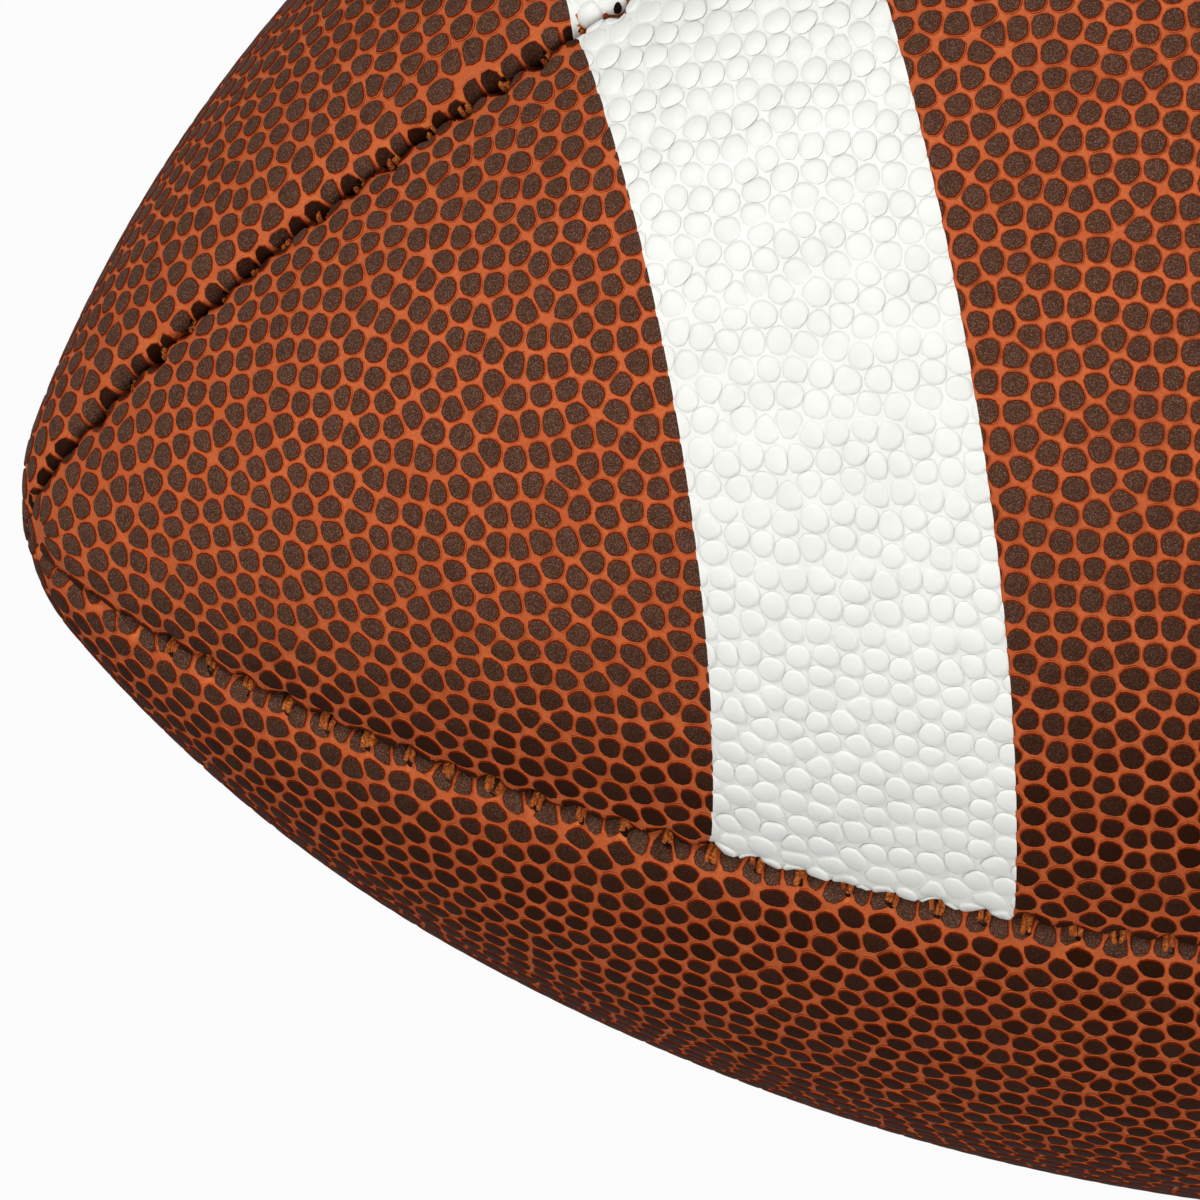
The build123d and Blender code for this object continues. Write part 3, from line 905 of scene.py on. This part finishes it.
def addStripes(place, settings, made, toneAndSheen):
    side = place.split("_")[1]
    for end, sign in ends.items():
        low, high = sorted((sign * ball["stripeNear"], sign * ball["stripeFar"]))
        parts = [slicePebbles(made, toneAndSheen, low, high), paintedGround(settings["skin"], low, high)]
        mesh = joinMesh(f"stripe_{end}_{side}_paint", parts)
        newPiece(f"stripe_{end}_{side}_paint", mesh, stripePaint, "stripe_paint", f"stripe_{end}_{side}")


for place, settings in panels.items():
    random = np.random.default_rng(settings["seed"])
    along, across, size = spreadPebbles(place, random)
    outlines = pebbleOutlines(place, along, across, size, random)
    # Each pebble's tone is a little random and mostly the painted sheen
    scatter = pebble["randomToneShare"]
    toneAndSheen = scatter * random.uniform(0, 1, len(along))
    toneAndSheen = toneAndSheen + (1 - scatter) * paintedSheenAt(along, across, settings["turn"])
    made = pebbleArrays(along, across, outlines, settings, plainPebble)
    clear = np.linalg.norm(fittingOffset(place, coverPoint(along, across)[0]), axis=1) > pebble["fittingRoom"]
    for key in ("points", "uv", "relief"):
        made[key] = made[key][clear]
    addPebbles(place, made, toneAndSheen[clear])
    if place.startswith("upper"):
        addStripes(place, settings, pebbleArrays(along, across, outlines, settings, paintedPebble), toneAndSheen)
    print("pebbles", place, len(along))
print("stripes painted")


# A strip or cord of one section along a row of stations, closed at both ends
def sweepArrays(centres, sideways, outward, section):
    section = np.array(section)
    wide, high = section[None, :, :1] * sideways[:, None], section[None, :, 1:] * outward[:, None]
    points = centres[:, None] + wide + high
    rows, columns = points.shape[:2]
    ring = np.arange(columns)
    after = np.roll(ring, -1)
    first = (np.arange(rows - 1) * columns)[:, None]
    quads = np.stack((first + ring, first + after, first + columns + after, first + columns + ring), -1)
    caps = np.stack((ring[::-1], ring + (rows - 1) * columns))
    return points.reshape(-1, 3), quads.reshape(-1, 4), caps


def joinArrays(parts):
    starts = np.cumsum([0] + [len(points) for points, _, _ in parts])
    points = np.concatenate([points for points, _, _ in parts])
    quads = np.concatenate([quads + first for (_, quads, _), first in zip(parts, starts)])
    caps = np.concatenate([caps + first for (_, _, caps), first in zip(parts, starts)])
    return points, [quads, caps]


# Thread of the seams: each stitch comes up between the panels, over one rolled edge and down a needle hole
thread = {
    "hosts": {"front": ("lower_front", -1), "rear": ("upper_rear", -1), "bottom": ("lower_rear", -1),
              "top": ("upper_rear", 1)},
    "noseRoom": 5.0,
    "radius": 0.27,
    "radiusSpread": (0.75, 1.15),
    "sides": 6,
    "apart": 0.34,
    "path": ((1.1, 0.05), (0.6, 0.2), (0.15, 0.36), (-0.25, 0.46), (-0.6, 0.42), (-0.95, 0.22),
             (-1.15, -0.15)),
    "sunk": {"front": 0.0, "rear": 0.0, "bottom": 0.0, "top": 0.5},
    "scatter": 0.12,
    "bow": 0.32,
    "reachSpread": 0.25,
    "liftSpread": 0.2,
    "holePlace": -1.05,
    "holeLift": 0.225,
    "paintedLift": 0.3,
    "holeRadius": 0.36,
    "holeStretch": 1.25,
    "holeSides": 10,
    "seed": 71,
    "bright": tone(216, 124, 58),
    "dull": tone(132, 58, 20),
    "specular": 0.08,
    "twist": (5200, 2),
    "dirt": (1400, 2),
    "lit": (0.35, 0.65),
    "soiled": (0.45, 0.7, 0.65),
    "rough": (0.5, 0.3),
    "bump": (0.7, 0.0002),
}


def threadFinish(look):
    f = Finish("seam_thread", Specular_IOR_Level=look["specular"])
    twist, dirt = f.noise(*look["twist"]), f.noise(*look["dirt"])
    colour = f.lay(look["dull"], look["bright"], twist, *look["lit"])
    colour = f.lay(colour, leather["foot"], dirt, *look["soiled"])
    # The discs over the needle holes get the hole's painted shade
    colour = f.blend(f.number("holeShade"), colour, leather["needleHoleShade"])
    return f.grained(look, colour, twist)


def stitchStrand(along, edgeSide, settings, sunk, jitter):
    offsets, lifts = np.array(thread["path"]).T
    edge, roll = edgeAt(np.full(len(offsets), along))
    across = rollEnd(edge, roll) + sunk + offsets * (1 + thread["reachSpread"] * jitter[0])
    bow = thread["bow"] * np.sin(np.linspace(0, math.pi, len(offsets)))
    lifts = lifts * (1 + thread["liftSpread"] * jitter[2])
    points, out = coverPoint(along + jitter[1] * bow, edgeSide * across, lifts, settings["pucker"])
    forward = unit(np.gradient(points, axis=0))
    sideways = unit(np.cross(forward, out))
    return points, sideways, np.cross(sideways, forward)


# Over the stripe the paint has closed over the thread
def inStripe(along):
    return ball["stripeNear"] < abs(lobeAt(np.array(along))[0]) < ball["stripeFar"]


# Over each needle hole a dark disc: the painted shade of the hole, which the cover's mesh is too coarse to
# sink
def needleHoleShade(along, edgeSide, settings, sunk, lift):
    edge, roll = edgeAt(np.array(along))
    across = edgeSide * (rollEnd(edge, roll) + sunk + thread["holePlace"])
    angles = circleAngles(thread["holeSides"])
    radius = thread["holeRadius"]
    ringAlong = along + thread["holeStretch"] * radius * np.cos(angles)
    ringAcross = across + radius * np.sin(angles)
    return coverPoint(ringAlong, ringAcross, np.full(len(angles), lift), settings["pucker"])[0]


def stitchPlaces():
    seam = np.arange(ball["stitchPitch"] / 2, seamTable[-1], ball["stitchPitch"])
    along = np.interp(seam, seamTable, alongTable)
    along = along[np.interp(along, alongTable, xTable) < ball["noseEnd"][0] - thread["noseRoom"]]
    return np.r_[-along[::-1], along]


def threadMesh(name, places, host, edgeSide, sunk, random):
    settings = panels[host]
    angles = circleAngles(thread["sides"])
    section = thread["radius"] * np.c_[np.cos(angles), np.sin(angles)]
    strands, holes = [], []
    for along in places + random.normal(0, thread["scatter"], len(places)):
        painted = host.startswith("upper") and edgeSide > 0 and inStripe(along)
        for way in (-1, 0, 1):
            jitter = random.uniform(-1, 1, 3)
            line = stitchStrand(along + way * thread["apart"], edgeSide, settings, sunk, jitter)
            if not painted:
                strands.append(sweepArrays(*line, section * random.uniform(*thread["radiusSpread"])))
        lift = thread["paintedLift" if painted else "holeLift"]
        holes.append(needleHoleShade(along, edgeSide, settings, sunk, lift))
    points, faces = joinArrays(strands)
    first, corners = len(points), len(holes) * thread["holeSides"]
    holeShadeFaces = np.arange(corners).reshape(len(holes), -1) + first
    holeShadeMark = np.r_[np.zeros(first), np.ones(corners)]
    points = np.concatenate((points, *holes))
    mesh = newMesh(name, toBall(points, settings["turn"]), [*faces, holeShadeFaces], None, {"holeShade": holeShadeMark})
    outwardFaces(mesh)
    return mesh


seamThread = threadFinish(thread)
random = np.random.default_rng(thread["seed"])
everyStitch = stitchPlaces()
stitchX = lobeAt(everyStitch)[0]
for seam, (host, edgeSide) in thread["hosts"].items():
    runs = {seam: everyStitch}
    if seam == "top":
        runs = {"top_left": everyStitch[stitchX < -ball["openingHalf"]],
                "top_right": everyStitch[stitchX > ball["openingHalf"]]}
    for run, places in runs.items():
        mesh = threadMesh(f"seam_thread_{run}", places, host, edgeSide, thread["sunk"][seam], random)
        newPiece(f"seam_thread_{run}", mesh, seamThread, "seam_thread", f"seam_stitches_{run}")
print("seams sewn:", len(everyStitch), "stitches each")

# Lace: eight cross runs over one run along the opening, every end going down its slot
laceLook = {
    "specular": 0.4,
    "white": tone(240, 238, 231),
    "cream": tone(226, 223, 213),
    "dust": tone(205, 200, 188),
    "grain": (2600, 3, 0.65),
    "cloud": (220, 3),
    "creamy": (0.3, 0.7),
    "dusty": (0.55, 0.75, 0.3),
    "rough": (0.4, 0.2),
    "bump": (0.5, 0.0003),
}


def laceFinish(look):
    f = Finish("lace_white", Specular_IOR_Level=look["specular"])
    grain, cloud = f.noise(*look["grain"]), f.noise(*look["cloud"])
    colour = f.lay(look["white"], look["cream"], cloud, *look["creamy"])
    colour = f.lay(colour, look["dust"], grain, *look["dusty"])
    return f.grained(look, colour, grain)


def smoothRun(points, count):
    points = np.array(points)
    steps = np.r_[0, np.cumsum(np.hypot(*np.diff(points, axis=0).T))]
    even = np.linspace(0, steps[-1], count)
    line = np.stack([np.interp(even, steps, points[:, k]) for k in (0, 1)], -1)
    for _ in range(lace["smoothings"]):
        line[1:-1] = (line[:-2] + 2 * line[1:-1] + line[2:]) / 4
    return line


# A strip with rounded corners, and a groove along its outer face where one is given
def stripSection(width, thickness, groove=0.0):
    corner, steps = lace["corner"], lace["cornerSteps"]
    half, flat = width / 2 - corner, thickness / 2 - corner
    loop = []
    for x, z, start in ((half, flat, 0), (-half, flat, 90), (-half, -flat, 180), (half, -flat, 270)):
        if start == 90 and groove:
            for share, sink in lace["grooveShape"]:
                loop.append((half * share, thickness / 2 - groove * sink))
        for k in range(steps + 1):
            angle = math.radians(start + 90 / steps * k)
            loop.append((x + corner * math.cos(angle), z + corner * math.sin(angle)))
    return loop


# Places along the top seam, and which way is up there
def seamFrame(x):
    a, step = np.abs(x), lace["slopeStep"]
    valley = np.interp(a, xTable, valleyTable)
    slope = np.interp(a + step, xTable, valleyTable) - np.interp(a - step, xTable, valleyTable)
    zero = np.zeros_like(valley)
    up = unit(np.stack((-slope * np.sign(x), zero, zero + 1), -1))
    return np.stack((x, zero, valley), -1), up


def crossRun(x):
    half = smoothRun(lace["crossPath"], lace["crossStations"])
    line = np.concatenate((half, half[-2::-1] * (-1, 1)))
    origin, up = seamFrame(np.full(len(line), x))
    across = np.array((0.0, 1.0, 0.0))
    centres = origin + line[:, :1] * across + line[:, 1:] * up
    forward = unit(np.gradient(centres, axis=0))
    ahead = np.cross(across, up)
    section = stripSection(lace["width"], lace["thickness"])
    return sweepArrays(centres, ahead, np.cross(forward, ahead), section)


def centreRun():
    end = smoothRun(lace["centrePath"], lace["endStations"])
    middle = np.linspace(end[-1, 0], -end[-1, 0], lace["middleStations"])[1:-1]
    x = np.r_[end[:, 0], middle, -end[::-1, 0]]
    lift = np.r_[end[:, 1], np.full(len(middle), end[-1, 1]), end[::-1, 1]]
    origin, up = seamFrame(x)
    centres = origin + lift[:, None] * up
    forward = unit(np.gradient(centres, axis=0))
    across = np.tile((0.0, 1.0, 0.0), (len(x), 1))
    section = stripSection(lace["centreWidth"], lace["thickness"], lace["groove"])
    return sweepArrays(centres, across, np.cross(across, forward), section)


laceWhite = laceFinish(laceLook)
laceRuns = {"lace_cross_run": [crossRun(x) for x in lacePlaces], "lace_centre_run": [centreRun()]}
for name, parts in laceRuns.items():
    points, faces = joinArrays(parts)
    mesh = newMesh(f"{name}_strip", points * mm, faces)
    outwardFaces(mesh)
    newPiece(f"{name}_strip", mesh, laceWhite, "lace_strip", name)
print("lace laid")

# Holes through the cover: the round one of the valve, and the slots that the lace goes down
opening = {"depth": 12.0, "sides": 48, "smoothAngle": 50}


# The covers cross themselves in the seams, where the exact solver would add the cutters instead
def cutFrom(piece, cutters):
    bpy.ops.object.select_all(action="DESELECT")
    for cutter in cutters:
        cutter.select_set(True)
    bpy.context.view_layer.objects.active = cutters[0]
    if len(cutters) > 1:
        bpy.ops.object.join()
    cutter = bpy.context.object
    cut = piece.modifiers.new("holes", "BOOLEAN")
    cut.operation, cut.solver, cut.object = "DIFFERENCE", "FAST", cutter
    bpy.ops.object.select_all(action="DESELECT")
    piece.select_set(True)
    bpy.context.view_layer.objects.active = piece
    bpy.ops.object.modifier_apply(modifier="holes")
    bpy.ops.object.shade_smooth_by_angle(angle=math.radians(opening["smoothAngle"]))
    bpy.data.objects.remove(cutter)


def slotBox(middle, half):
    x, y = middle
    origin, up = seamFrame(np.array((x, x)))
    tilt = math.atan2(up[0, 0], up[0, 2])
    spot = Vector(origin[0] + (0, y, 0)) * mm
    bpy.ops.mesh.primitive_cube_add(size=mm, location=spot, rotation=(0, tilt, 0))
    box = bpy.context.object
    box.scale = (2 * half[0], 2 * half[1], opening["depth"])
    bpy.ops.object.transform_apply(location=True, rotation=True, scale=True)
    return box


def cutLaceSlots(piece, side):
    bpy.ops.object.select_all(action="DESELECT")
    slots = [slot for slot in laceSlots() if slot[0][1] * side >= 0]
    cutFrom(piece, [slotBox(*slot) for slot in slots])


def cutValveHole(piece):
    way = Vector(valve["middle"])
    bpy.ops.object.select_all(action="DESELECT")
    bpy.ops.mesh.primitive_cylinder_add(vertices=opening["sides"], radius=valve["holeRadius"] * mm,
                                        depth=opening["depth"] * mm, location=way,
                                        rotation=way.to_track_quat("Z", "Y").to_euler())
    cutFrom(piece, [bpy.context.object])


cutValveHole(panels["lower_rear"]["skin"])
cutLaceSlots(panels["upper_front"]["skin"], -1)
cutLaceSlots(panels["upper_rear"]["skin"], 1)
print("holes cut")

# Finishes of the pieces inside and of the valve
cloth = {
    "liningPale": tone(206, 196, 172),
    "liningDark": tone(164, 152, 126),
    "facingPale": tone(112, 104, 98),
    "facingDark": tone(66, 60, 56),
    "specular": 0.2,
    "yarnScale": 520.0,
    "yarnBend": 1.5,
    "slub": (700, 3),
    "weaveShare": 0.6,
    "slubShare": 0.4,
    "rough": (0.75, 0.2),
    "bump": (0.5, 0.0003),
}
rubber = {
    "black": tone(34, 33, 32),
    "worn": tone(62, 60, 57),
    "core": tone(74, 66, 62),
    "specular": 0.4,
    "grain": (2400, 3),
    "bloom": (160, 3),
    "rubbed": (0.4, 0.75, 0.6),
    "rough": (0.42, 0.25),
    "bump": (0.25, 0.0002),
}


def clothFinish(name, pale, dark):
    f = Finish(name, Specular_IOR_Level=cloth["specular"])
    yarns = []
    for way in "XZ":
        values = {"Vector": f.place(), "Scale": cloth["yarnScale"], "Distortion": cloth["yarnBend"]}
        yarns.append(f.node("TexWave", {"bands_direction": way}, values, "Fac"))
    weave = yarns[0].larger(yarns[1])
    slub = f.noise(*cloth["slub"])
    colour = f.blend(weave * cloth["weaveShare"] + cloth["slubShare"] * slub, dark, pale)
    low, more = cloth["rough"]
    return f.feed(Base_Color=colour, Roughness=low + more * slub, Normal=f.bump(weave, *cloth["bump"]))


def rubberFinish(name, colour):
    f = Finish(name, Specular_IOR_Level=rubber["specular"])
    grain, bloom = f.noise(*rubber["grain"]), f.noise(*rubber["bloom"])
    return f.grained(rubber, f.lay(colour, rubber["worn"], bloom, *rubber["rubbed"]), grain)


lining = clothFinish("lining_cloth", cloth["liningPale"], cloth["liningDark"])
facing = clothFinish("facing_cloth", cloth["facingPale"], cloth["facingDark"])
bladderRubber = rubberFinish("bladder_rubber", rubber["black"])
valveRubber = rubberFinish("valve_rubber", rubber["black"])
coreRubber = rubberFinish("core_rubber", rubber["core"])
finishes = {
    **{f"lining_{place}": lining for place in panels},
    "lace_facing_front": facing,
    "lace_facing_rear": facing,
    "lace_tongue": facing,
    "bladder": bladderRubber,
    "valve_patch": bladderRubber,
    "valve_housing": valveRubber,
    "valve_core": coreRubber,
}
for name, finish in finishes.items():
    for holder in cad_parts[name].material_slots:
        holder.material = finish
print("inner pieces finished")

# Camera where the photographer stood, by the place of the near tip in the picture
camera = {
    "azimuth": -14.804,
    "elevation": 46.887,
    "roll": 1.176,
    "tip": (-142.0, 0.0, 0.0),
    "tipPixel": (39.79, 527.485),
    "pixels": 1200,
    "scale": 11.682,  # pixels to a millimetre at the tip
    "distance": 2064.0,
    "sensor": 36,
    "clip": (0.05, 50),
}


def addCamera():
    az, el, roll = (math.radians(camera[k]) for k in ("azimuth", "elevation", "roll"))
    back = Vector((math.sin(az) * math.cos(el), -math.cos(az) * math.cos(el), math.sin(el)))
    right = Vector((math.cos(az), math.sin(az), 0))
    up = back.cross(right)
    right, up = (math.cos(roll) * right + math.sin(roll) * up, math.cos(roll) * up - math.sin(roll) * right)
    half = camera["pixels"] / 2
    aside, below = ((p - half) / camera["scale"] for p in camera["tipPixel"])
    place = Vector(camera["tip"]) + back * camera["distance"] - right * aside + up * below
    bpy.ops.object.camera_add()
    seen = bpy.context.object
    seen.name = "camera"
    seen.data.sensor_width = camera["sensor"]
    seen.data.lens = camera["sensor"] * camera["scale"] * camera["distance"] / camera["pixels"]
    seen.data.clip_start, seen.data.clip_end = camera["clip"]
    turn = Matrix((right, up, back)).transposed().to_4x4()
    seen.matrix_world = Matrix.Translation(place * mm) @ turn
    bpy.context.scene.camera = seen
    return right, up, back


cameraRight, cameraUp, cameraBack = addCamera()

# A lamp's way from the ball is given in the camera's axes: back, right and up
studio = {
    "floorHeight": -0.0815,
    "floorSize": 12.0,
    "floorColour": (0.05, 0.05, 0.05, 1),
    "floorRoughness": 0.9,
    "floorGlow": 1.03,
    "floorShadow": 0.06,
    "white": (1, 1, 1, 1),
    "world": 0.34,
    "lampAim": (-0.09, 0, 0),
    "lampDistance": 1.6,
    "lamps": {
        "key_light": {"way": (0.53, -0.65, 0.5), "power": 12.7, "size": 0.6},
        "fill_light": {"way": (0.89, 0.18, -0.41), "power": 14.8, "size": 1.0},
    },
}


def addFloor():
    bpy.ops.mesh.primitive_plane_add(size=studio["floorSize"], location=(0, 0, studio["floorHeight"]))
    floor = bpy.context.object
    floor.name = "floor"
    f = Finish("floor_white", Roughness=studio["floorRoughness"], Base_Color=studio["floorColour"])
    seen = f.node("LightPath", out="Is Camera Ray") + f.node("LightPath", out="Is Glossy Ray")
    seen = seen + f.node("LightPath", out="Is Transmission Ray")
    glow = f.node("Emission", None, {"Color": studio["white"], "Strength": studio["floorGlow"]})
    share = seen.smaller(1.0) * (1 - studio["floorShadow"])
    mixed = f.node("MixShader", None, {0: share, 1: Wire(f, f.shader.outputs[0]), 2: glow})
    f.set(f.tree.nodes["Material Output"].inputs["Surface"], mixed)
    floor.data.materials.append(f.material)


def addLamp(name, settings):
    axes = (cameraBack, cameraRight, cameraUp)
    way = sum((axis * share for axis, share in zip(axes, settings["way"])), Vector()).normalized()
    bpy.ops.object.light_add(type="AREA", location=Vector(studio["lampAim"]) + way * studio["lampDistance"])
    lamp = bpy.context.object
    lamp.name = name
    lamp.data.energy = settings["power"]
    lamp.data.shape = "DISK"
    lamp.data.size = settings["size"]
    lamp.rotation_mode = "QUATERNION"
    lamp.rotation_quaternion = way.to_track_quat("Z", "Y")


def addStage():
    addFloor()
    world = bpy.data.worlds.new("studio")
    bpy.context.scene.world = world
    world.use_nodes = True
    background = world.node_tree.nodes["Background"]
    background.inputs["Color"].default_value = studio["white"]
    background.inputs["Strength"].default_value = studio["world"]
    for name, settings in studio["lamps"].items():
        addLamp(name, settings)


addStage()
bpy.context.scene.view_settings.view_transform = "Standard"
print("stage ready")
